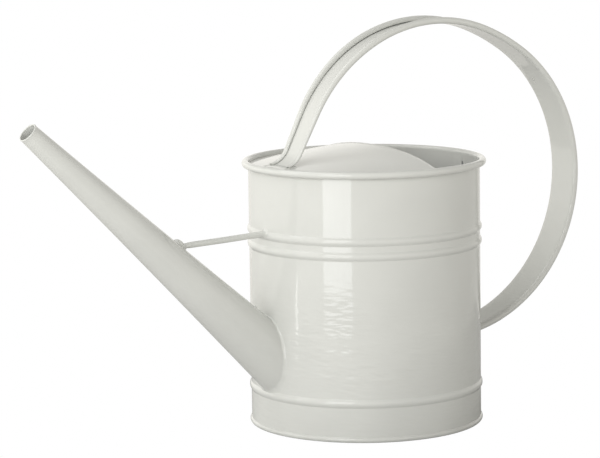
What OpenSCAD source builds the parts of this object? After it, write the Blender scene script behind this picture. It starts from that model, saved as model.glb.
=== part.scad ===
// Metal watering can: a round body with a rolled rim and foot, a half cover over the mouth,
// a long tapering spout with a brace, and a hoop handle made of strap with rolled edges.
// The origin is on the ground under the middle of the body. +Z is up, and the spout points to -X.

/* [Body] */
// Outside diameter of the body tube
body_d = 170; // [160:1:180]
// Height from the ground to the top of the rolled rim
body_h = 195; // [185:1:205]
// Thickness of the steel sheet
sheet = 0.8; // [0.6:0.1:1]
// Outside diameter of the rolled rim
rim_roll_d = 5.4; // [5:0.1:6]
// Diameter of the wire inside the rolled rim
rim_wire_d = 3.5; // [3:0.1:3.6]
// Outside diameter of the rolled foot seam
foot_roll_d = 4.2; // [4:0.1:4.6]
// Height of the base plate above the ground
base_lift = 5; // [4.6:0.1:8]

/* [Beads] */
// Height of the middle of the lower bead
lower_bead_z = 28; // [24:0.5:29]
// Height of the middle of the lower bead of the pair
pair_low_z = 134; // [120:0.5:140]
// Distance between the two beads of the pair
pair_pitch = 10.5; // [8:0.5:14]
// Height of a bead
bead_h = 6.2; // [5:0.1:7]
// How far a bead stands out of the body
bead_out = 1.2; // [0.8:0.1:1.4]

/* [Half cover] */
// Height at which the cover meets the body
cover_z = 191.6; // [188:0.1:192]
// Rise of the middle of the free edge above the body joint
cover_rise = 12; // [8:0.5:16]
// How far the free edge lies behind the middle of the body
cover_reach = 10; // [0:1:20]
// Depth of the flange that is turned down inside the body
cover_flange = 5; // [3:0.5:8]
// Shape of the crown across the cover: 2 is a parabola, higher is flatter on top
crown_power = 2.4; // [2:0.1:4]

/* [Spout] */
// Height at which the spout's axis meets the body
spout_z = 59; // [57:0.5:64]
// Angle of the spout above the horizontal
spout_angle = 42.8; // [40:0.1:46]
// Length of the spout along its axis, from the body
spout_length = 255.5; // [230:0.5:280]
// Outside diameter of the spout where its axis meets the body
spout_root_d = 40.6; // [36:0.1:42]
// Outside diameter of the straight tip
spout_tip_d = 15; // [14:0.1:18]
// Length of the straight tip
spout_tip_l = 12; // [8:0.5:20]

/* [Brace] */
// Diameter of the brace rod
brace_d = 4.4; // [3:0.1:5]
// Height of the rod's middle at the body
brace_z = 146; // [142:0.5:150]
// Distance of the rod's far end from the middle of the body
brace_reach = 155; // [150:0.5:160]
// Height of the rod's middle at the spout
brace_spout_z = 143.2; // [141:0.1:145]

/* [Handle] */
// Overall width of the strap
strap_w = 29.5; // [26:0.5:34]
// Outside diameter of the strap's rolled edges
strap_roll_d = 4.9; // [4:0.1:5.4]
// Radius of the front of the hoop, at the middle of the rolled edges
hoop_front_r = 119.5; // [110:0.5:125]
// Radius of the flatter stretch at the top
hoop_top_r = 162; // [150:1:180]
// Radius of the back of the hoop
hoop_rear_r = 115; // [110:0.5:118]
// Distance of the front arc's centre behind the middle of the body
hoop_x = 57.6; // [56:0.1:59]
// Height of the front arc's centre
hoop_z = 173.6; // [172:0.1:176]

/* [Hidden] */
$fn = 96;
paint = "#dadad4";
steel = "#9a9d9f";
gap = 0.03;

body_r = body_d / 2;
body_in_r = body_r - sheet;

// The wall starts inside the foot seam and ends in the rolled rim.
wall_z = 1;
roll_r = rim_roll_d / 2;
roll_x = body_in_r + roll_r;
roll_z = body_h - roll_r;
roll_slit = 0.5;

// A bead is an arc of this radius, centred inside the wall.
bead_r = (bead_h * bead_h / 4 + bead_out * bead_out) / (2 * bead_out);
bead_x = body_r + bead_out - bead_r;
bead_zs = [lower_bead_z, pair_low_z, pair_low_z + pair_pitch];

// The foot seam is cut flat where it stands on the ground.
foot_r = foot_roll_d / 2;
foot_flat = 0.15;
foot_x = body_r + bead_out - foot_r;

// The side seam is a lap on the inside of the wall, at the back.
lap_from = -3.8;
lap_sweep = 7;
lap_z = base_lift + 2;

cover_r = body_in_r - 0.1;
cover_span = cover_reach + cover_r;
cover_slope = atan(cover_rise / cover_span);
cover_rays = 48;
cover_rings = 14;

spout_root_r = spout_root_d / 2;
spout_tip_r = spout_tip_d / 2;
cone_l = spout_length - spout_tip_l;
cone_taper = (spout_root_r - spout_tip_r) / cone_l;
cone_in = 30;

rod_l = norm([brace_reach - body_r, brace_z - brace_spout_z]);
rod_tilt = atan((brace_z - brace_spout_z) / (brace_reach - body_r));

// The tab at the rod's far end lies along the top of the spout.
tab_l = 11;
tab_w = 7;
tab_t = 1.5;
tab_at = 110;

solder = 2.4;

// The strap: a flat web with both edges rolled over, away from the hand.
strap_t = 0.9;
strap_roll_r = strap_roll_d / 2;
strap_half = strap_w / 2 - strap_roll_r;
strap_slit = 0.6;

// The hoop's top arc is thicker by joint_grow, and the arcs beside it run joint_lap degrees into it.
joint_lap = 0.4;
joint_grow = 0.05;

// The hoop is three tangent arcs. Angles run from +X towards +Z.
front_end = 165;
top_from = 69;
top_to = 55;
hoop_c1 = [hoop_x, hoop_z];
hoop_c2 = hoop_c1 + (hoop_front_r - hoop_top_r) * [cos(top_from), sin(top_from)];
hoop_c3 = hoop_c2 + (hoop_top_r - hoop_rear_r) * [cos(top_to), sin(top_to)];

// Both feet are a hair wider than the hoop.
foot_spread = 0.4;

// Front foot: the strap kinks outward, runs down to the cover and ends in a flat toe.
front_heading = -136;
front_lap = 1.2;
front_run = 16;
front_at = hoop_c1 + hoop_front_r * [cos(front_end), sin(front_end)]
    - front_lap * [cos(front_heading), sin(front_heading)];
toe_clear = 0.15;
toe_from = -61;
toe_to = -78;
toe_half = strap_half + 1.5;

// Rear foot: the strap meets the back of the body and turns down against it.
rear_web_x = body_r + 0.1;
rear_roll_x = rear_web_x + strap_roll_r;
rear_end = -acos((rear_web_x + strap_t - hoop_c3[0]) / hoop_rear_r);
rear_top = hoop_c3[1] + hoop_rear_r * sin(rear_end) + strap_roll_r;
rear_run = 23;
rear_solder_l = 14;
rear_solder_r = 1.9;

// Helpers

// The outside of the body as one solid, to cut other pieces against.
module body_form() {
    rotate_extrude()
        union() {
            translate([0, wall_z])
                square([body_r, roll_z - wall_z]);
            for (z = bead_zs)
                translate([bead_x, z])
                    circle(bead_r);
        }
}

// Places its children on the spout's axis: local Z runs along the spout, local X is its top side.
module on_spout() {
    translate([-body_r, 0, spout_z])
        rotate([0, spout_angle - 90, 0])
            children();
}

// The spout as a solid, made larger by grow.
module spout_form(grow) {
    on_spout() {
        translate([0, 0, -cone_in])
            cylinder(
                h = cone_l + cone_in,
                r1 = spout_root_r + cone_in * cone_taper + grow,
                r2 = spout_tip_r + grow
            );
        translate([0, 0, cone_l - gap])
            cylinder(h = spout_tip_l + gap, r = spout_tip_r + grow);
    }
}

// The brace rod, made larger by grow. It runs from the spout's middle into the body.
module brace_rod(grow) {
    translate([-brace_reach, 0, brace_spout_z])
        rotate([0, 90 - rod_tilt, 0])
            cylinder(h = rod_l, d = brace_d + 2 * grow);
}

// Section of the strap, made thicker by grow on every face. Y is across the strap, and the web
// lies on -X when side is 1, on +X when -1.
module strap_section(side, spread = 0, grow = 0) {
    web_x = side > 0 ? -strap_roll_r : strap_roll_r - strap_t;
    slit_x = side > 0 ? web_x + strap_t : web_x - strap_slit;
    half = strap_half + spread;
    difference() {
        union() {
            translate([web_x - grow, -half])
                square([strap_t + 2 * grow, 2 * half]);
            for (y = [-half, half])
                translate([0, y])
                    circle(strap_roll_r + grow);
        }
        for (y = [-half, half])
            translate([0, y])
                circle(strap_roll_r - strap_t - grow);
        translate([slit_x + grow, -half])
            square([strap_slit - 2 * grow, 2 * half]);
    }
}

// A bent length of strap about a centre in the X-Z plane.
module strap_arc(centre, radius, from, to, grow = 0) {
    translate([centre[0], 0, centre[1]])
        rotate([90, 0, 0])
            rotate_extrude(angle = to - from, start = from)
                translate([radius, 0])
                    strap_section(1, 0, grow);
}

// A straight length of strap from a point in the X-Z plane; the heading runs from +X towards +Z.
module strap_run(from, heading, length, side, spread = 0) {
    translate([from[0], 0, from[1]])
        rotate([0, 90 - heading, 0])
            linear_extrude(length)
                strap_section(side, spread);
}

// Half width of the body's mouth, and height of the cover, at a place in plan.
function mouth_half(x) = sqrt(max(cover_r * cover_r - x * x, 0.0001));
function across(x, y) = min(abs(y) / mouth_half(x), 1);
function cover_top(x, y) =
    cover_z + cover_rise * (x + cover_r) / cover_span * (1 - pow(across(x, y), crown_power));

// Distance from the middle of the cover's free edge to the rim, in direction a.
function ray_l(a) =
    let (b = cover_reach * cos(a))
    -b + sqrt(b * b + cover_r * cover_r - cover_reach * cover_reach);

function cover_point(a, d, drop) =
    let (x = cover_reach + d * cos(a), y = d * sin(a))
    [x, y, cover_top(x, y) - drop];

// One ray of the cover: out along the top, down the flange, and back along the underside.
function cover_ray(a) =
    let (l = ray_l(a), edge = cover_point(a, l, 0), inner = cover_point(a, l - sheet, 0))
    concat(
        [for (k = [1 : cover_rings]) cover_point(a, l * k / cover_rings, 0)],
        [[edge[0], edge[1], cover_z - cover_flange]],
        [[inner[0], inner[1], cover_z - cover_flange]],
        [[inner[0], inner[1], inner[2] - sheet]],
        [for (k = [cover_rings - 1 : -1 : 1]) cover_point(a, l * k / cover_rings, sheet)]
    );

// Sub-parts

module body_shell() {
    color(paint)
        difference() {
            union() {
                rotate_extrude()
                    wall_section();
                translate([0, 0, lap_z])
                    rotate_extrude(angle = lap_sweep, start = lap_from)
                        translate([body_in_r - sheet, 0])
                            square([sheet + gap, cover_z - cover_flange - lap_z]);
            }
            spout_form(-sheet);
        }
}

module wall_section() {
    difference() {
        union() {
            translate([body_in_r, wall_z])
                square([sheet, roll_z - wall_z]);
            for (z = bead_zs)
                translate([bead_x, z])
                    circle(bead_r);
            translate([roll_x, roll_z])
                circle(roll_r);
        }
        square([body_in_r, body_h]);
        for (z = bead_zs)
            translate([bead_x, z])
                circle(bead_r - sheet);
        translate([roll_x, roll_z])
            circle(roll_r - sheet);
        translate([body_r, roll_z - roll_r])
            square([roll_slit, roll_r / 2]);
    }
}

module rim_wire() {
    color(steel)
        rotate_extrude()
            translate([roll_x, roll_z])
                circle(rim_wire_d / 2);
}

module base_plate() {
    color(paint)
        rotate_extrude()
            difference() {
                union() {
                    translate([0, base_lift])
                        square([body_in_r - gap, sheet]);
                    translate([body_in_r - gap - sheet, foot_r])
                        square([sheet, base_lift - foot_r + gap]);
                    translate([foot_x, foot_r - foot_flat])
                        circle(foot_r);
                }
                translate([body_in_r - gap, wall_z - gap])
                    square([sheet + 2 * gap, base_lift]);
                translate([foot_x - foot_r, -foot_r])
                    square([foot_roll_d, foot_r]);
            }
}

module half_cover() {
    rays = [for (j = [0 : cover_rays]) cover_ray(90 + 180 * j / cover_rays)];
    n = len(rays[0]);
    peak = cover_point(90, 0, 0);
    points = concat([peak, peak - [0, 0, sheet]], [for (ray = rays) each ray]);
    first = [for (k = [0 : n - 1]) 2 + k];
    last = [for (k = [n - 1 : -1 : 0]) 2 + cover_rays * n + k];
    faces = concat(
        [concat([0], first, [1])],
        [concat([1], last, [0])],
        [for (j = [0 : cover_rays - 1]) each
            let (a = 2 + j * n, b = a + n)
            concat(
                [[0, b, a], [1, a + n - 1, b + n - 1]],
                [for (k = [0 : n - 2]) each [[a + k, b + k, b + k + 1], [a + k, b + k + 1, a + k + 1]]]
            )]
    );
    color(paint)
        polyhedron(points, faces);
}

module spout() {
    color(paint)
        difference() {
            spout_form(0);
            spout_form(-sheet);
            on_spout()
                translate([0, 0, spout_length - sheet])
                    cylinder(h = 2 * sheet, r = spout_tip_r - sheet);
            cylinder(h = body_h, r = body_r);
        }
}

module brace() {
    color(paint)
        difference() {
            union() {
                brace_rod(0);
                on_spout()
                    translate([spout_root_r - tab_at * cone_taper, -tab_w / 2, tab_at - tab_l / 2])
                        cube([tab_t, tab_w, tab_l]);
            }
            spout_form(gap);
            body_form();
        }
}

module handle() {
    color(paint) {
        strap_arc(hoop_c1, hoop_front_r, top_from - joint_lap, front_end);
        strap_arc(hoop_c2, hoop_top_r, top_to, top_from, joint_grow);
        strap_arc(hoop_c3, hoop_rear_r, rear_end, top_to + joint_lap);
        front_foot();
        rear_foot();
    }
}

// The run down to the cover, cut off along the cover's slope, and the flat toe on the cover.
module front_foot() {
    difference() {
        strap_run(front_at, front_heading, front_run, 1, foot_spread);
        on_cover(toe_clear - front_run)
            cube([front_run * 3, strap_w + 2, front_run]);
    }
    on_cover(toe_clear)
        translate([toe_to + cover_r, strap_w / 2 + 1 - toe_half, 0])
            cube([toe_from - toe_to, 2 * toe_half, strap_t]);
}

// Places its children above the cover's crest line, starting over the rim on the spout's side.
module on_cover(lift) {
    translate([-cover_r, -strap_w / 2 - 1, cover_z])
        rotate([0, -cover_slope, 0])
            translate([0, 0, lift])
                children();
}

module rear_foot() {
    strap_run([rear_roll_x, rear_top], -90, rear_run, -1, foot_spread);
}

module spout_solder() {
    color(paint)
        difference() {
            intersection() {
                spout_form(solder);
                cylinder(h = body_h / 2, r = body_r + solder);
            }
            spout_form(gap);
            body_form();
        }
}

module brace_body_solder() {
    color(paint)
        difference() {
            translate([-body_r - bead_out - solder, 0, brace_z])
                rotate([0, 90, 0])
                    cylinder(h = 2 * solder, r1 = brace_d / 2 + 0.5, r2 = brace_d + 1);
            body_form($fn = 720);
            brace_rod(gap);
        }
}

module brace_spout_solder() {
    color(paint)
        difference() {
            on_spout()
                translate([spout_root_r - tab_at * cone_taper, 0, tab_at])
                    sphere(brace_d);
            spout_form(gap);
            brace();
        }
}

// A quarter-round bead along the end of the toe.
module handle_front_solder() {
    color(paint)
        on_cover(toe_clear)
            translate([toe_to + cover_r - gap, strap_w / 2 + 1 + toe_half, 0])
                rotate([90, 0, 0])
                    rotate_extrude(angle = 90, start = 90)
                        square([strap_t, 2 * toe_half]);
}

// A bead in each corner between the rear foot's rolled edges and the wall.
module handle_rear_solder() {
    color(paint)
        for (side = [-1, 1])
            difference() {
                translate([rear_web_x, side * strap_w / 2, rear_top - rear_run])
                    cylinder(h = rear_solder_l, r = rear_solder_r);
                cylinder(h = body_h, r = body_r, $fn = 720);
                translate([rear_roll_x, side * (strap_half + foot_spread), 0])
                    cylinder(h = body_h, r = strap_roll_r + gap);
            }
}

module seam_solder() {
    color(steel)
        translate([0, 0, lap_z])
            rotate_extrude(angle = 1, start = lap_from - 1)
                translate([body_in_r - sheet / 2, 0])
                    square([sheet / 2, cover_z - cover_flange - lap_z]);
}

body_shell();
rim_wire();
base_plate();
half_cover();
spout();
brace();
handle();
spout_solder();
brace_body_solder();
brace_spout_solder();
handle_front_solder();
handle_rear_solder();
seam_solder();
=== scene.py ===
"""Looks for the painted metal watering can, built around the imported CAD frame.

Lengths in the dimension section are millimetres in the CAD frame: the origin is on the ground on the
body's axis, +Z is up, and the spout points to -X. They become metres where a mesh gets its points.
"""
from math import acos, asin, cos, hypot, pi, radians, sin, sqrt

import bmesh
import bpy
from mathutils import Matrix, Vector, noise


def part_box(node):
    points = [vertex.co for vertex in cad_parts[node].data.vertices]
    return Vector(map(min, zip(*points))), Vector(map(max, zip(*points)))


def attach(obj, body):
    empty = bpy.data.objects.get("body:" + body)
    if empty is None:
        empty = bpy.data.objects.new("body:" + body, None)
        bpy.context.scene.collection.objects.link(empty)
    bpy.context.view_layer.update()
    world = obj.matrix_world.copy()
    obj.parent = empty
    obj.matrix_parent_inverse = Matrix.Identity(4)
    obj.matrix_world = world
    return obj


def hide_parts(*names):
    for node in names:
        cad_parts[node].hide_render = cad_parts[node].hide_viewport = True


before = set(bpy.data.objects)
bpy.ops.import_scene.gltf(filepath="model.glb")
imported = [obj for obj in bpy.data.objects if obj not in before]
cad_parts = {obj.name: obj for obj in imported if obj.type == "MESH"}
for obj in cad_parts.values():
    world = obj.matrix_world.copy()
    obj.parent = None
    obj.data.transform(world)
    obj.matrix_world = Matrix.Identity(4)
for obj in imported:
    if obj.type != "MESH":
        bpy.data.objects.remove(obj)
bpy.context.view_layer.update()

MM = 0.001
SHARP = 35  # degrees between two faces, from which their edge is shaded sharp

# ---- Driving dimensions, in mm ----

# Body wall and rolled rim. roll_gap is the notch between the roll's end and the wall.
body_r = 85.0
sheet = 0.8
body_in_r = body_r - sheet
body_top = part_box("body_shell")[1].z / MM
wall_low = 1.0
roll_r = 2.7
roll_x = body_in_r + roll_r
roll_z = body_top - roll_r
roll_gap = 0.45

# Swaged beads: their heights, half of one's height, and how far it stands out of the wall. bead_crown
# rounds its top and bead_skirt its two sides. Rows of the plain wall are about wall_row apart.
bead_zs = (28.0, 134.0, 144.5)
bead_half = 3.2
bead_out = 1.2
bead_margin = 0.4
bead_crown, bead_skirt = 2.4, 1.5
wall_row = 8

# Foot seam, which foot_cut takes flat on the ground, and the base plate inside it.
foot_r = 2.1
foot_x = body_r + bead_out - foot_r
foot_cut = 0.15
base_z = 5.0
base_bend_r = 2.0
skirt_z, seam_in_z, seam_top_z = 2.2, 2.4, 3.4

# The side seam's lap: its two edges round the body, and the heights between which it shows.
lap_from, lap_to = radians(-3.8), radians(3.2)
lap_low, lap_high = 8, roll_z - 3

# Half cover: its height at the wall, how far its crown rises, and where its free edge is (x).
cover_z = 191.6
cover_rise = 12.0
cover_reach = 10.0
cover_power = 2.4
cover_r = body_in_r - 0.1
cover_flange = 5.0
hem_r = 0.75

# Spout: a tube from the wall to a lip rolled at its tip.
spout_z = 59.0
spout_angle = radians(42.8)
spout_l = 255.5
spout_root_r = 20.3
spout_tip_r = 7.2
spout_flare = 3e-5
spout_wall_l = spout_l - 0.3 - 1.2
lip_r, lip_in, lip_over = 0.55, 0.25, 0.6
root_cut_from, root_cut_to, root_cut_r = -30, 25, spout_root_r - sheet - 0.4

# Brace: a rod from the wall down to a tab on top of the spout.
rod_r = 2.2
rod_z = 146.0
rod_reach = 155.0
rod_spout_z = 143.2
tab_at, tab_l, tab_w, tab_t = 110.0, 11.0, 7.0, 1.5

# Handle: a strap with curled edges, bent round three arcs, with a foot at each end.
strap_t = 0.9
strap_roll_r = 2.45
strap_half = 12.3
curl_end = radians(203)
hoop_front_r, hoop_top_r, hoop_rear_r = 119.5, 162.0, 115.0
front_end, top_from, top_to = radians(152), radians(69), radians(55)
front_run, front_bend_r, front_rise = 29.0, 15.9, radians(7)
rear_bend_r = 6.0
rear_end_z = 38.3

# How much of the strap's height and width is left where it is pressed at the front foot.
toe_height, knee_height, hip_height = 0.3, 0.55, 0.75
front_narrow, hip_narrow = 0.82, 0.89

# The front foot's flat toe on the cover, and the small slot mark in the strap.
toe_from, toe_to = -66.0, -77.5
toe_half, toe_t = 13.0, 0.95
toe_corner_r = 3.0
slot_angle, slot_y = radians(38), 4
slot_half_l, slot_half_w = 2.6, 0.55


def polar(radius, angle):
    """A point on a circle about the origin of the X-Z plane."""
    return Vector((radius * cos(angle), radius * sin(angle)))


hoop_c1 = Vector((57.6, 173.6))
hoop_c2 = hoop_c1 + polar(hoop_front_r - hoop_top_r, top_from)
hoop_c3 = hoop_c2 + polar(hoop_top_r - hoop_rear_r, top_to)

# ---- Mesh helpers ----


def new_piece(name, rows, material, close_rows, close_columns, caps=False, sharp=SHARP):
    """A quad mesh through rows of points, which rides on the root body.

    close_rows joins the last row to the first; close_columns joins each row's last point to its first.
    """
    n, m = len(rows), len(rows[0])
    mesh = bpy.data.meshes.new(name)
    points = [Vector(p) * MM for row in rows for p in row]
    faces = []
    for i in range(n if close_rows else n - 1):
        a, b = i * m, (i + 1) % n * m
        for j in range(m if close_columns else m - 1):
            k = (j + 1) % m
            faces.append((a + j, a + k, b + k, b + j))
    if caps:
        faces.append(tuple(range(m - 1, -1, -1)))
        faces.append(tuple(range((n - 1) * m, n * m)))
    mesh.from_pydata(points, [], faces)
    return finish_piece(name, mesh, material, sharp)


def finish_piece(name, mesh, material, sharp=SHARP):
    """Weld the mesh, turn its faces outward, and make it a piece that rides on the root body."""
    welded = bmesh.new()
    welded.from_mesh(mesh)
    bmesh.ops.remove_doubles(welded, verts=welded.verts, dist=1e-6)
    bmesh.ops.recalc_face_normals(welded, faces=welded.faces)
    welded.to_mesh(mesh)
    welded.free()
    mesh.polygons.foreach_set("use_smooth", [True] * len(mesh.polygons))
    mesh.set_sharp_from_angle(angle=radians(sharp))
    mesh.materials.append(material)
    piece = bpy.data.objects.new(name, mesh)
    bpy.context.scene.collection.objects.link(piece)
    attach(piece, "root")
    return piece


def stands_for(piece, slot, *nodes):
    """Hide the CAD nodes that the piece stands for. The slot is not used."""
    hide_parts(*nodes)


def join(pieces):
    """Make one piece of several that are one part of the real object."""
    whole = bmesh.new()
    for piece in pieces:
        whole.from_mesh(piece.data)
    first = pieces[0]
    whole.to_mesh(first.data)
    whole.free()
    first.data.polygons.foreach_set("use_smooth", [True] * len(first.data.polygons))
    first.data.set_sharp_from_angle(angle=radians(SHARP))
    for piece in pieces[1:]:
        bpy.data.objects.remove(piece)
    return first


def lathe(name, profile, material, segments=288, inset=None):
    """Turn a closed outline of (radius, height) points about the Z axis.

    inset(angle, r, z) is taken off the radius.
    """
    rows = []
    for i in range(segments):
        a = 2 * pi * i / segments
        row = []
        for r, z in profile:
            rr = r - inset(a, r, z) if inset else r
            row.append((rr * cos(a), rr * sin(a), z))
        rows.append(row)
    return new_piece(name, rows, material, True, True)


def arc(cx, cy, r, start, end, steps):
    """Points along an arc, angles in radians."""
    angles = [start + (end - start) * k / steps for k in range(steps + 1)]
    return [(cx + r * cos(a), cy + r * sin(a)) for a in angles]


def turn_angles(sides):
    """Angles of the corners of a regular ring."""
    return [2 * pi * k / sides for k in range(sides)]


def cut(piece, cutter):
    """Take cutter's solid out of piece."""
    boolean = piece.modifiers.new("cut", "BOOLEAN")
    boolean.operation = "DIFFERENCE"
    boolean.solver = "EXACT"
    boolean.object = cutter
    bpy.context.view_layer.update()
    evaluated = piece.evaluated_get(bpy.context.evaluated_depsgraph_get())
    mesh = bpy.data.meshes.new_from_object(evaluated)
    piece.modifiers.clear()
    old = piece.data
    piece.data = mesh
    bpy.data.meshes.remove(old)
    bpy.data.objects.remove(cutter)
    mesh.set_sharp_from_angle(angle=radians(SHARP))


# ---- Materials ----


def add_noise(tree, vector, scale, detail):
    texture = tree.nodes.new("ShaderNodeTexNoise")
    texture.inputs["Scale"].default_value = scale
    texture.inputs["Detail"].default_value = detail
    tree.links.new(vector, texture.inputs["Vector"])
    return texture.outputs["Fac"]


def add_range(tree, value, given, wanted):
    """Map a value from the range given to the range wanted."""
    node = tree.nodes.new("ShaderNodeMapRange")
    for label, number in zip(("From Min", "From Max", "To Min", "To Max"), (*given, *wanted)):
        node.inputs[label].default_value = number
    tree.links.new(value, node.inputs["Value"])
    return node.outputs["Result"]


def add_ramp(tree, value, given, dark, light):
    """Blend from the colour dark to light over the range given."""
    ramp = tree.nodes.new("ShaderNodeValToRGB")
    for stop, position, colour in zip(ramp.color_ramp.elements, given, (dark, light)):
        stop.position = position
        stop.color = (*colour, 1)
    tree.links.new(value, ramp.inputs["Fac"])
    return ramp.outputs["Color"]


def add_bump(tree, height, distance, strength, under=None):
    """A bump of a height field, on top of the bump under it."""
    bump = tree.nodes.new("ShaderNodeBump")
    bump.inputs["Distance"].default_value = distance
    bump.inputs["Strength"].default_value = strength
    tree.links.new(height, bump.inputs["Height"])
    if under is not None:
        tree.links.new(under.outputs["Normal"], bump.inputs["Normal"])
    return bump


def painted(name, colour):
    """Gloss paint over sheet metal: orange peel, slow waviness, and slight unevenness of tone and gloss.

    Low on the body, the sheet also has flat, wide ripples, which grow from ripple_top down to ripple_full.
    """
    darkest = 0.955
    ripple_top, ripple_full, ripple_most = 0.125, 0.085, 0.3
    material = bpy.data.materials.new(name)
    material.use_nodes = True
    tree = material.node_tree
    link = tree.links.new
    shader = tree.nodes["Principled BSDF"]
    shader.inputs["Specular IOR Level"].default_value = 0.5
    place = tree.nodes.new("ShaderNodeTexCoord").outputs["Object"]

    tone = add_noise(tree, place, 22, 5)
    shade = add_ramp(tree, tone, (0.3, 0.7), [c * darkest for c in colour], colour)
    link(shade, shader.inputs["Base Color"])
    link(add_range(tree, tone, (0, 1), (0.04, 0.08)), shader.inputs["Roughness"])

    wave = add_bump(tree, add_noise(tree, place, 45, 2), 0.0016, 0.06)
    peel = add_bump(tree, add_noise(tree, place, 420, 2), 0.0006, 0.012, wave)

    squash, height = tree.nodes.new("ShaderNodeMapping"), tree.nodes.new("ShaderNodeSeparateXYZ")
    squash.inputs["Scale"].default_value = (0.3, 0.3, 1)
    link(place, squash.inputs["Vector"])
    link(place, height.inputs["Vector"])
    ripple = add_bump(tree, add_noise(tree, squash.outputs["Vector"], 300, 1), 0.0006, 0, peel)
    fade = add_range(tree, height.outputs["Z"], (ripple_top, ripple_full), (0, ripple_most))
    link(fade, ripple.inputs["Strength"])
    link(ripple.outputs["Normal"], shader.inputs["Normal"])
    return material


def bare_metal(name, colour, roughness):
    """Dull steel or solder with a fine streaky grain."""
    darkest, spread = 0.75, 0.1
    material = bpy.data.materials.new(name)
    material.use_nodes = True
    tree = material.node_tree
    link = tree.links.new
    shader = tree.nodes["Principled BSDF"]
    shader.inputs["Metallic"].default_value = 1
    place = tree.nodes.new("ShaderNodeTexCoord").outputs["Object"]
    grain = add_noise(tree, place, 160, 6)
    shade = add_ramp(tree, grain, (0, 1), [c * darkest for c in colour], colour)
    link(shade, shader.inputs["Base Color"])
    rough = add_range(tree, grain, (0, 1), (roughness - spread, roughness + spread))
    link(rough, shader.inputs["Roughness"])
    return material


paint = painted("gloss_paint", (0.65, 0.656, 0.628))
steel = bare_metal("wire_steel", (0.55, 0.56, 0.57), 0.4)
tin = bare_metal("solder_tin", (0.52, 0.53, 0.54), 0.5)

# ---- Body, rim and base ----


def bead_profile(radius, from_z, to_z, steps=32):
    """The wall from from_z to to_z at a radius, with the swaged beads that lie between them."""
    turn = 1 if to_z > from_z else -1
    end_step = 0.3 * turn
    points = [(radius, from_z), (radius, from_z + end_step)]
    for z in sorted(bead_zs, reverse=turn < 0):
        start, last = z - (bead_half + bead_margin) * turn, points[-1][1]
        rows = max(1, round(abs(start - last) / wall_row))
        points += [(radius, last + (start - last) * k / rows) for k in range(1, rows + 1)]
        for k in range(steps + 1):
            t = (2 * k / steps - 1) * turn
            points.append((radius + bead_out * (1 - abs(t) ** bead_crown) ** bead_skirt, z + bead_half * t))
        points.append((radius, z + (bead_half + bead_margin) * turn))
    last = points[-1][1]
    points += [(radius, last + (to_z - end_step - last) * k / 6) for k in range(1, 7)]
    points.append((radius, to_z))
    return points


def make_body():
    """The wall and its rolled rim in one outline, with the seam's lap inside and a hole for the spout."""
    crease = asin((body_r - roll_gap - roll_x) / roll_r)
    start = -pi / 2 + crease
    outside = bead_profile(body_r, wall_low, roll_z - roll_r * cos(crease) - 0.5)
    notch = [(body_r - roll_gap, roll_z - roll_r * cos(crease))]
    curl = arc(roll_x, roll_z, roll_r, start + 0.05, pi, 40)
    inner = bead_profile(body_in_r, roll_z - 1, wall_low)

    def lap(a, r, z):
        angle = (a + pi) % (2 * pi) - pi
        inside = r < body_r - sheet / 2
        on_lap = lap_from <= angle <= lap_to and lap_low < z < lap_high
        return sheet if inside and on_lap else 0

    body = lathe("body", outside + notch + curl + inner, paint, 360, lap)
    root = [[spout_point(s, phi, root_cut_r) for phi in turn_angles(96)]
            for s in (root_cut_from, root_cut_to)]
    cut(body, new_piece("root_cutter", root, paint, False, True, caps=True))
    stands_for(body, "paint", "body_shell")


def make_base():
    """The base plate, turned down at its edge, and the foot seam rolled round it."""
    plate_r = body_in_r - 0.03
    hub_r, chamfer = 0.01, 0.4
    top = base_z + sheet
    foot_z = foot_r - foot_cut
    edge = asin(foot_z / foot_r)
    start = pi + 0.3
    profile = [(hub_r, base_z), (plate_r - 3, base_z)]
    profile += arc(plate_r - sheet - base_bend_r, base_z - base_bend_r, base_bend_r, pi / 2, 0, 6)
    profile += [(plate_r - sheet, skirt_z), (foot_x + foot_r * cos(start), foot_z + foot_r * sin(start))]
    profile += arc(foot_x, foot_z, foot_r, pi + edge * 0.9, 2 * pi + pi / 2 + 0.45, 34)
    profile += [(body_r + 0.02, seam_top_z), (body_r - 0.6, seam_in_z), (plate_r, seam_in_z)]
    profile += [(plate_r, top - chamfer), (plate_r - chamfer, top), (hub_r, top)]
    base = lathe("base", [(r, max(z, 0)) for r, z in profile], paint, 288)
    stands_for(base, "paint", "base_plate")


# ---- Half cover ----


def cover_top(x, y):
    """Height of the cover's upper face. It rises from the spout's side to the free edge."""
    half = sqrt(max(cover_r * cover_r - x * x, 1e-4))
    across = min(abs(y) / half, 1)
    span = cover_reach + cover_r
    return cover_z + cover_rise * (x + cover_r) / span * (1 - across ** cover_power)


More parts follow.
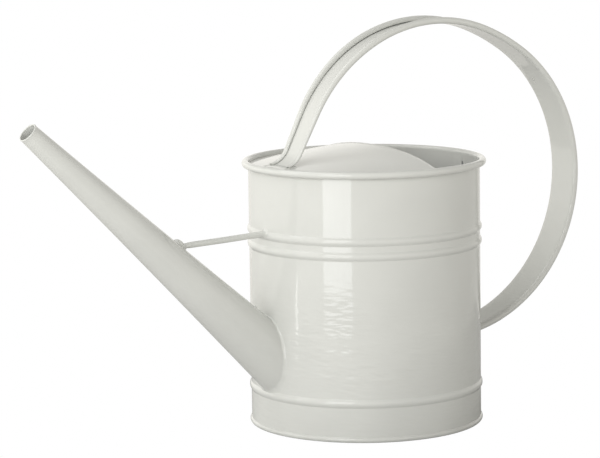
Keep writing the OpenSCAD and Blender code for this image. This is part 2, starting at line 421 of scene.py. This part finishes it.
def make_cover():
    """The domed sheet, drawn in rays from the middle of its free edge, with a flange and a hem."""
    rays, rings = 180, 44
    rows = []
    for i in range(rays + 1):
        a = pi / 2 + pi * i / rays
        b = cover_reach * cos(a)
        far = -b + sqrt(b * b + cover_r * cover_r - cover_reach * cover_reach)
        row = []
        for k in range(1, rings + 1):
            d = far * k / rings
            x, y = cover_reach + d * cos(a), d * sin(a)
            row.append((x, y, cover_top(x, y)))
        x, y = cover_reach + far * cos(a), far * sin(a)
        inner = (far - sheet) / far
        xi, yi = cover_reach + far * inner * cos(a), far * inner * sin(a)
        row += [(x, y, cover_z - cover_flange), (xi, yi, cover_z - cover_flange)]
        row.append((xi, yi, cover_top(xi, yi) - sheet))
        for k in range(rings - 1, 0, -1):
            d = far * k / rings
            x, y = cover_reach + d * cos(a), d * sin(a)
            row.append((x, y, cover_top(x, y) - sheet))
        rows.append(row)
    n = len(rows[0])
    peak = cover_top(cover_reach, 0)
    mesh = bpy.data.meshes.new("half_cover")
    points = [p for row in rows for p in row] + [(cover_reach, 0, peak), (cover_reach, 0, peak - sheet)]
    top, under = len(points) - 2, len(points) - 1
    faces = []
    for i in range(rays):
        a, b = i * n, (i + 1) * n
        faces.append((top, a, b))
        faces.append((under, b + n - 1, a + n - 1))
        for j in range(n - 1):
            faces.append((a + j, a + j + 1, b + j + 1, b + j))
    faces.append(tuple([top] + list(range(0, n)) + [under])[::-1])
    faces.append(tuple([top] + list(range(rays * n, rays * n + n)) + [under]))
    mesh.from_pydata([Vector(p) * MM for p in points], [], faces)
    cover = finish_piece("half_cover_top", mesh, paint)

    half = sqrt(cover_r * cover_r - cover_reach * cover_reach)
    steps, sides = 90, 12
    rows = []
    for i in range(steps + 1):
        y = half * (2 * i / steps - 1) * 0.999
        z = cover_top(cover_reach, y)
        rows.append([(cover_reach - hem_r * 0.6 + hem_r * cos(t), y, z - sheet / 2 + hem_r * sin(t))
                     for t in turn_angles(sides)])
    hem = new_piece("hem", rows, paint, False, True, caps=True)
    stands_for(join([cover, hem]), "paint", "half_cover")


# ---- Spout ----

spout_start = Vector((-body_r, 0, spout_z))
spout_dir = Vector((-cos(spout_angle), 0, sin(spout_angle)))
spout_up = Vector((sin(spout_angle), 0, cos(spout_angle)))
spout_taper = (spout_tip_r - spout_root_r - spout_flare * spout_l ** 2) / spout_l


def spout_r(s):
    """The spout's outer radius, s along it from the wall."""
    return spout_root_r + spout_taper * s + spout_flare * s * s


def spout_point(s, phi, r):
    """A point s along the spout and r from its axis, at an angle phi from its top."""
    return spout_start + spout_dir * s + spout_up * (r * cos(phi)) + Vector((0, r * sin(phi), 0))


def wall_hit(phi, grow, radius=body_r):
    """How far along the spout its surface, grown by grow, comes out of the body's wall."""
    low, high = -40.0, 60.0
    for _ in range(50):
        mid = (low + high) / 2
        p = spout_point(mid, phi, spout_r(mid) + grow)
        low, high = (mid, high) if hypot(p.x, p.y) < radius else (low, mid)
    return high


def make_spout():
    """The tube as one closed section: its outside, the lip, and its inside back to the wall."""
    steps, lip_steps = 90, 10
    angles = turn_angles(144)
    starts = [wall_hit(phi, 0, body_r - sheet / 2) for phi in angles]

    def wall_row(k, depth):
        row = []
        for start, phi in zip(starts, angles):
            s = start + (spout_wall_l - start) * k / steps
            row.append(spout_point(s, phi, spout_r(s) - depth))
        return row

    rows = [wall_row(k, 0) for k in range(steps + 1)]
    for k in range(lip_steps + 1):
        a = pi / 2 + lip_over - k * (pi + 2 * lip_over) / lip_steps
        s = spout_l - lip_r + lip_r * cos(a)
        r = spout_r(spout_l) - lip_in + lip_r * sin(a)
        rows.append([spout_point(s, phi, r) for phi in angles])
    rows += [wall_row(k, sheet) for k in range(steps, -1, -1)]
    spout = new_piece("spout_tube", rows, paint, True, True)
    stands_for(spout, "paint", "spout")


def make_spout_solder():
    """The bead of solder round the spout, wider and lumpier underneath.

    It creeps further along the spout than down the wall, and its face is hollow.
    """
    sides, steps = 200, 8
    plain_w, low_w = 1.5, 0.5
    lump_w, low_lump_w = 0.25, 0.55
    creep, hollow = 1.25, 0.42
    rows = []
    for i in range(sides):
        phi = 2 * pi * i / sides
        low = (1 - cos(phi)) / 2
        lumps = noise.noise(Vector((5 * cos(phi), 5 * sin(phi), 0.3)))
        width = plain_w + low_w * low + (lump_w + low_lump_w * low ** 3) * lumps
        s0 = wall_hit(phi, 0)
        on_spout = spout_point(s0 + width * creep, phi, spout_r(s0 + width * creep))
        s1 = wall_hit(phi, width)
        on_wall = spout_point(s1, phi, spout_r(s1) + width)
        corner = spout_point(s0, phi, spout_r(s0))
        middle = corner.lerp((on_spout + on_wall) / 2, hollow)
        inner = Vector((corner.x * 0.994, corner.y * 0.994, corner.z))
        row = []
        for k in range(steps + 1):
            t = k / steps
            row.append(on_spout * (1 - t) ** 2 + middle * (2 * t * (1 - t)) + on_wall * t ** 2)
        on_wall_in = Vector((on_wall.x * 0.996, on_wall.y * 0.996, on_wall.z))
        row += [on_wall_in, inner, on_spout.lerp(spout_point(s0, phi, spout_r(s0) - 0.5), 0.3)]
        rows.append(row)
    bead = new_piece("spout_solder_bead", rows, paint, True, True, sharp=60)
    stands_for(bead, "paint", "spout_solder")


# ---- Brace ----


def make_brace():
    """The rod, flattened over its first ninth where it meets the spout, and the tab there."""
    start = Vector((-rod_reach, 0, rod_spout_z))
    end = Vector((-body_r - 0.3, 0, rod_z))
    along = (end - start).normalized()
    up = Vector((-along.z, 0, along.x))
    sides, steps = 32, 40
    wave, press, spread = 0.045, 0.3, 0.25
    rows = []
    for k in range(steps + 1):
        t = k / steps
        bend = wave * sin(3 * pi * t)
        flat = max(0.0, 1 - t * 9)
        rows.append([start.lerp(end, t) + up * (rod_r * (1 - press * flat) * sin(a) + bend)
                     + Vector((0, rod_r * (1 + spread * flat) * cos(a), 0))
                     for a in turn_angles(sides)])
    rod = new_piece("brace_rod", rows, paint, False, True, caps=True)

    rows = []
    steps, across = 20, 8
    end_w, sink, fall = 0.15, 0.2, 0.35
    for j in range(steps + 1):
        u = 2 * j / steps - 1
        s = tab_at + u * tab_l / 2
        wide = tab_w / 2 * (1 - abs(u) ** 6) ** 0.5 if abs(u) < 1 else end_w
        base_r = spout_r(s)
        reach = asin(wide / base_r)
        sides = [2 * k / across - 1 for k in range(across + 1)]
        ring = [spout_point(s, reach * v, base_r + tab_t * (1 - fall * abs(v) ** 3)) for v in sides]
        ring += [spout_point(s, reach * v, base_r - sink) for v in reversed(sides)]
        rows.append(ring)
    tab = new_piece("brace_tab", rows, paint, False, True, caps=True)
    stands_for(join([rod, tab]), "paint", "brace")


def blob(name, centre, axis, radii, along, node, seed):
    """A lump of solder: a flattened ball with a slightly uneven surface."""
    rings, sides = 24, 40
    uneven, lumps = 0.12, 2.2
    u = axis.normalized()
    v = along.normalized()
    w = u.cross(v)
    rows = []
    for i in range(rings + 1):
        lat = pi * i / rings - pi / 2
        row = []
        for lon in turn_angles(sides):
            d = Vector((sin(lat), cos(lat) * cos(lon), cos(lat) * sin(lon)))
            lump = 1 + uneven * noise.noise(d * lumps + Vector((seed, 0, 0)))
            row.append(centre + (u * (d.x * radii[0]) + v * (d.y * radii[1]) + w * (d.z * radii[2])) * lump)
        rows.append(row)
    piece = new_piece(name, rows, paint, False, True, sharp=80)
    stands_for(piece, "paint", node)


def make_brace_solder():
    """A flared collar where the rod meets the body, and a lump where it meets the spout."""
    steps, sides = 12, 48
    collar_l, collar_t, flare, flare_power, uneven = 3.6, 0.08, 2.3, 2.4, 0.07
    rows = []
    for k in range(steps + 1):
        t = k / steps
        r = rod_r + collar_t + flare * (1 - t) ** flare_power
        row = []
        for a in turn_angles(sides):
            lump = 1 + uneven * noise.noise(Vector((2 * cos(a), 2 * sin(a), t)))
            y, z = r * cos(a) * lump, r * sin(a) * lump
            wall = sqrt(max((body_r + 0.75) ** 2 - y * y, 0))
            row.append((-(wall - 0.9) - collar_l * t, y, rod_z + z))
        rows.append(row)
    collar = new_piece("brace_body_bead", rows, paint, False, True, caps=True, sharp=60)
    stands_for(collar, "paint", "brace_body_solder")
    blob("brace_spout_bead", spout_point(tab_at + 0.5, 0, spout_r(tab_at) + 0.9), spout_up,
         (2.3, 4.6, 3.6), spout_dir, "brace_spout_solder", 3.0)


# ---- Handle ----


def hoop_path():
    """Frames along the strap's roll centres, from the cover to the back: (x, z, heading, height, width).

    height and width are how much of the section's height and width is left: the rolled edges are pressed
    flat at the front foot, and the strap is narrowest just above it.
    """
    path = []

    def add_arc(centre, radius, start, end, steps, press=lambda t: (1, 1)):
        turn = -1 if end < start else 1
        for k in range(1, steps + 1):
            a = start + (end - start) * k / steps
            p = centre + polar(radius, a)
            path.append((p.x, p.y, a + turn * pi / 2, *press(k / steps)))

    hip = hoop_c1 + polar(hoop_front_r, front_end)
    front_heading = front_end - pi / 2
    knee = hip - polar(front_run, front_heading)
    add_arc(knee + polar(front_bend_r, front_end), front_bend_r, front_rise - pi / 2, front_end - pi, 18,
            lambda t: (toe_height + (knee_height - toe_height) * t, 1 - (1 - front_narrow) * sqrt(t)))
    for k in range(1, 13):
        t = k / 12
        p = knee + polar(front_run * t, front_heading)
        path.append((p.x, p.y, front_heading, knee_height + (hip_height - knee_height) * t,
                     front_narrow + (hip_narrow - front_narrow) * t))
    add_arc(hoop_c1, hoop_front_r, front_end, top_from, 110,
            lambda t: (1 - (1 - hip_height) * max(0, 1 - 2 * t) ** 2,
                       1 - (1 - hip_narrow) * max(0, 1 - 2.5 * t)))
    add_arc(hoop_c2, hoop_top_r, top_from, top_to, 20)
    rear_x = body_r + 0.1 + strap_roll_r
    rear_end = -acos((rear_x + rear_bend_r - hoop_c3.x) / (hoop_rear_r + rear_bend_r))
    add_arc(hoop_c3, hoop_rear_r, top_to, rear_end, 130)
    rear_c = hoop_c3 + polar(hoop_rear_r + rear_bend_r, rear_end)
    add_arc(rear_c, rear_bend_r, rear_end + pi, pi, 10)
    for k in range(1, 9):
        path.append((rear_x, rear_c.y + (rear_end_z - rear_c.y) * k / 8, -pi / 2, 1, 1))
    return path


def strap_outline(steps=22):
    """Closed outline of the strap's section as (out, across): a flat web with both edges curled outward."""
    r_out, r_in = strap_roll_r, strap_roll_r - strap_t
    right = [(r_out * sin(a), strap_half + r_out * cos(a))
             for a in [-pi / 2 + (curl_end + pi / 2) * k / steps for k in range(steps + 1)]]
    back = [(r_in * sin(a), strap_half + r_in * cos(a))
            for a in [curl_end - (curl_end + pi / 2) * k / steps for k in range(steps + 1)]]
    outer = right + back
    web_out = [(-r_in, strap_half * t) for t in (0.6, 0.2, -0.2, -0.6)]
    left_in = [(n, -y) for n, y in reversed(back)]
    left_out = [(n, -y) for n, y in reversed(right)]
    web_in = [(-r_out, strap_half * t) for t in (-0.6, -0.2, 0.2, 0.6)]
    return outer + web_out + left_in + left_out + web_in


def make_toe():
    """The front foot's flat end on the cover, with two rounded corners."""
    steps = 18
    rows = []
    for i in range(steps + 1):
        x = toe_from + (toe_to - toe_from) * i / steps
        short = toe_corner_r - min(x - toe_to, toe_corner_r)
        half = toe_half - toe_corner_r + sqrt(toe_corner_r * toe_corner_r - short ** 2)
        ys = [half * (2 * j / 24 - 1) for j in range(25)]
        row = [(x, y, cover_top(x, y) + toe_t - 0.25 * (abs(y) / toe_half) ** 6) for y in ys]
        row += [(x, y, cover_top(x, y) + 0.02) for y in reversed(ys)]
        rows.append(row)
    return new_piece("toe", rows, paint, False, True, caps=True)


def make_handle():
    """The strap swept along the hoop, joined to its toe, with the slot mark cut through it."""
    outline = strap_outline()
    rows = []
    for x, z, heading, height, width in hoop_path():
        out = Vector((-sin(heading), 0, cos(heading)))
        rows.append([Vector((x, y * width, z)) + out * ((n + strap_roll_r) * height - strap_roll_r)
                     for n, y in outline])
    strap = new_piece("strap", rows, paint, False, True, caps=True)
    handle = join([strap, make_toe()])

    mark = hoop_c3 + polar(hoop_rear_r - strap_roll_r, slot_angle)
    centre = Vector((mark.x, slot_y, mark.y))
    out = Vector((cos(slot_angle), 0, sin(slot_angle)))
    side = Vector((-sin(slot_angle), 0, cos(slot_angle)))
    rows = []
    for d in (-2, 3):
        rows.append([centre + out * d + side * (slot_half_l * cos(t)) + Vector((0, slot_half_w * sin(t), 0))
                     for t in turn_angles(20)])
    cut(handle, new_piece("slot_cutter", rows, paint, False, True, caps=True))
    stands_for(handle, "paint", "handle")


def make_handle_solder():
    """Beads of solder round the toe on the cover, and beside the rear foot."""
    steps = 39
    corners = [(toe_from, -toe_half), (toe_to, -toe_half), (toe_to, toe_half), (toe_from, toe_half)]
    outline = [corners[0]]
    for (x0, y0), (x1, y1) in zip(corners, corners[1:]):
        outline += [(x0 + (x1 - x0) * k / steps, y0 + (y1 - y0) * k / steps) for k in range(1, steps + 1)]
    rows = []
    for i, (x, y) in enumerate(outline):
        before, after = outline[max(i - 1, 0)], outline[min(i + 1, len(outline) - 1)]
        along = Vector((after[0] - before[0], after[1] - before[1])).normalized()
        away = Vector((along.y, -along.x))
        wide = 1.1 + 0.35 * noise.noise(Vector((x * 0.25, y * 0.25, 1.7)))
        ends = min(i, len(outline) - 1 - i) / 8
        wide *= min(1, 0.15 + ends)
        row = []
        for t in [k / 6 for k in range(7)]:
            px, py = x + away.x * wide * (t - 0.25), y + away.y * wide * (t - 0.25)
            row.append((px, py, cover_top(px, py) + 0.9 * min(wide, 1) * (1 - t) ** 1.6 + 0.03))
        px, py = x - away.x * 0.5, y - away.y * 0.5
        row += [(x + away.x * wide * 0.75, y + away.y * wide * 0.75, cover_top(x, y) - 0.3),
                (px, py, cover_top(px, py) - 0.3)]
        rows.append(row)
    bead = new_piece("toe_bead", rows, paint, False, True, caps=True, sharp=60)
    stands_for(bead, "paint", "handle_front_solder")

    beads = []
    for side in (-1, 1):
        rows = []
        for k in range(31):
            t = k / 30
            z = rear_end_z + 14 * t
            y = side * (strap_half + strap_roll_r - 0.2)
            grow = sin(pi * min(max(t, 0.02), 0.98)) ** 0.35
            r = 1.6 * grow * (1 + 0.12 * noise.noise(Vector((z * 0.4, side, 0))))
            x = sqrt(body_r ** 2 - y * y) + 0.3
            rows.append([(x + r * cos(a), y + r * 0.9 * sin(a), z) for a in turn_angles(20)])
        beads.append(new_piece("rear_bead", rows, paint, False, True, caps=True, sharp=60))
    stands_for(join(beads), "paint", "handle_rear_solder")


# ---- Camera, floor and light ----

camera_azimuth = radians(33)

# Strengths of the room and of the light from above. The room is dimmest at dim_side from the right.
sky_light = 1.5
sky_colour = (1, 0.98, 0.93, 1)
dim_side = radians(20)
overhead_light = 0.27
overhead_lean = radians(30)
overhead_spread = radians(45)

# The two boxes of the key light, one above the other: azimuth, distance and width in metres.
key_azimuth, key_distance, key_width = radians(-26), 1.3, 0.64
table_grey = (0.52, 0.52, 0.52, 1)


def make_camera():
    """Long lens, looking slightly down on the spout's side of the can."""
    distance, height = 2.0113, 0.4356
    yaw, pitch, roll = radians(-1.352), radians(8.291), radians(-0.837)
    data = bpy.data.cameras.new("camera")
    data.lens = 165.64
    data.sensor_width = 36
    camera = bpy.data.objects.new("camera", data)
    place = Matrix.Translation((-distance * sin(camera_azimuth), -distance * cos(camera_azimuth), height))
    turn = Matrix.Rotation(-(camera_azimuth + yaw), 4, "Z") @ Matrix.Rotation(pi / 2 - pitch, 4, "X")
    camera.matrix_world = place @ turn @ Matrix.Rotation(roll, 4, "Z")
    bpy.context.scene.collection.objects.link(camera)
    bpy.context.scene.camera = camera


def soft_box(name, azimuth, distance, width, low, high, radiance, colour=(1, 1, 1)):
    """An upright light facing the body, at an azimuth from the camera's side, positive to its right."""
    data = bpy.data.lights.new(name, "AREA")
    data.shape = "RECTANGLE"
    data.size, data.size_y = width, high - low
    data.energy = radiance * pi * width * (high - low)
    data.color = colour
    lamp = bpy.data.objects.new(name, data)
    back = Matrix.Rotation(azimuth - camera_azimuth, 3, "Z") @ Vector((0, -1, 0))
    lamp.location = back * distance + Vector((0, 0, (low + high) / 2))
    lamp.rotation_euler = back.to_track_quat("Z", "Y").to_euler()
    lamp.visible_camera = False
    bpy.context.scene.collection.objects.link(lamp)


def camera_sees(tree, lit, seen, output):
    """Show the camera one shader, seen, and light everything else with another, lit."""
    path, mix = tree.nodes.new("ShaderNodeLightPath"), tree.nodes.new("ShaderNodeMixShader")
    tree.links.new(path.outputs["Is Camera Ray"], mix.inputs["Fac"])
    tree.links.new(lit, mix.inputs[1])
    tree.links.new(seen, mix.inputs[2])
    tree.links.new(mix.outputs["Shader"], tree.nodes[output].inputs["Surface"])


def make_floor():
    """The table top: white to the camera, and mid grey to every other ray.

    It ends a little in front of the can, so that the low key light also reaches the can from below it.
    """
    near, far, side = -0.3, 0.4, 0.42
    turn = Matrix.Rotation(-camera_azimuth, 3, "Z")
    mesh = bpy.data.meshes.new("floor")
    corners = [(-side, near, 0), (side, near, 0), (side, far, 0), (-side, far, 0)]
    mesh.from_pydata([turn @ Vector(corner) for corner in corners], [], [(0, 1, 2, 3)])
    floor = bpy.data.objects.new("floor", mesh)
    material = bpy.data.materials.new("floor_white")
    material.use_nodes = True
    tree = material.node_tree
    shader, white = tree.nodes["Principled BSDF"], tree.nodes.new("ShaderNodeEmission")
    shader.inputs["Base Color"].default_value = table_grey
    shader.inputs["Roughness"].default_value = 0.9
    camera_sees(tree, shader.outputs["BSDF"], white.outputs["Emission"], "Material Output")
    mesh.materials.append(material)
    bpy.context.scene.collection.objects.link(floor)


def make_world():
    """A room that is brightest on the left at the can's height, and dimmer below and overhead.

    The camera sees it as plain white.
    """
    world = bpy.data.worlds.new("studio")
    world.use_nodes = True
    tree = world.node_tree
    nodes, link = tree.nodes, tree.links.new
    lit, seen = nodes["Background"], nodes.new("ShaderNodeBackground")
    place = nodes.new("ShaderNodeTexCoord").outputs["Generated"]
    across, height = nodes.new("ShaderNodeVectorMath"), nodes.new("ShaderNodeSeparateXYZ")
    across.operation = "DOT_PRODUCT"
    across.inputs[1].default_value = Matrix.Rotation(dim_side - camera_azimuth, 3, "Z") @ Vector((1, 0, 0))
    link(place, across.inputs[0])
    link(place, height.inputs["Vector"])
    side = add_range(tree, across.outputs["Value"], (-1, 1), (sky_light * 1.05, sky_light * 0.68))
    low = add_range(tree, height.outputs["Z"], (-0.2, 0.12), (0.66, 1))
    high = add_range(tree, height.outputs["Z"], (0.2, 0.8), (1, 0.15))
    band, strength = nodes.new("ShaderNodeMath"), nodes.new("ShaderNodeMath")
    band.operation = strength.operation = "MULTIPLY"
    link(low, band.inputs[0])
    link(high, band.inputs[1])
    link(side, strength.inputs[0])
    link(band.outputs["Value"], strength.inputs[1])
    lit.inputs["Color"].default_value = sky_colour
    link(strength.outputs["Value"], lit.inputs["Strength"])
    seen.inputs["Color"].default_value = (1, 1, 1, 1)
    camera_sees(tree, lit.outputs["Background"], seen.outputs["Background"], "World Output")
    bpy.context.scene.world = world
    bpy.context.scene.view_settings.view_transform = "Standard"


def make_lights():
    """A broad light from above, leaned to the left, and three soft boxes on the left."""
    data = bpy.data.lights.new("overhead", "SUN")
    data.energy = overhead_light * pi
    data.angle = overhead_spread
    overhead = bpy.data.objects.new("overhead", data)
    overhead.rotation_euler = (Matrix.Rotation(-camera_azimuth, 3, "Z")
                               @ Matrix.Rotation(-overhead_lean, 3, "Y")).to_euler()
    bpy.context.scene.collection.objects.link(overhead)

    soft_box("key_low", key_azimuth, key_distance, key_width, -0.11, 0.16, 3.0, (0.95, 0.97, 1))
    soft_box("key_high", key_azimuth, key_distance, key_width, 0.45, 1.1, 3.6, (0.97, 0.99, 1))
    soft_box("strip", radians(-69), 1.0, 0.03, -0.3, 0.9, 4.0)


def give_material(node, material):
    """Give a CAD node that is shown as it is its material."""
    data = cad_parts[node].data
    data.materials.clear()
    data.materials.append(material)


make_camera()
make_floor()
make_world()
make_lights()
make_body()
make_base()
make_cover()
make_spout()
make_spout_solder()
make_brace()
make_brace_solder()
make_handle()
make_handle_solder()
give_material("rim_wire", steel)
give_material("seam_solder", tin)
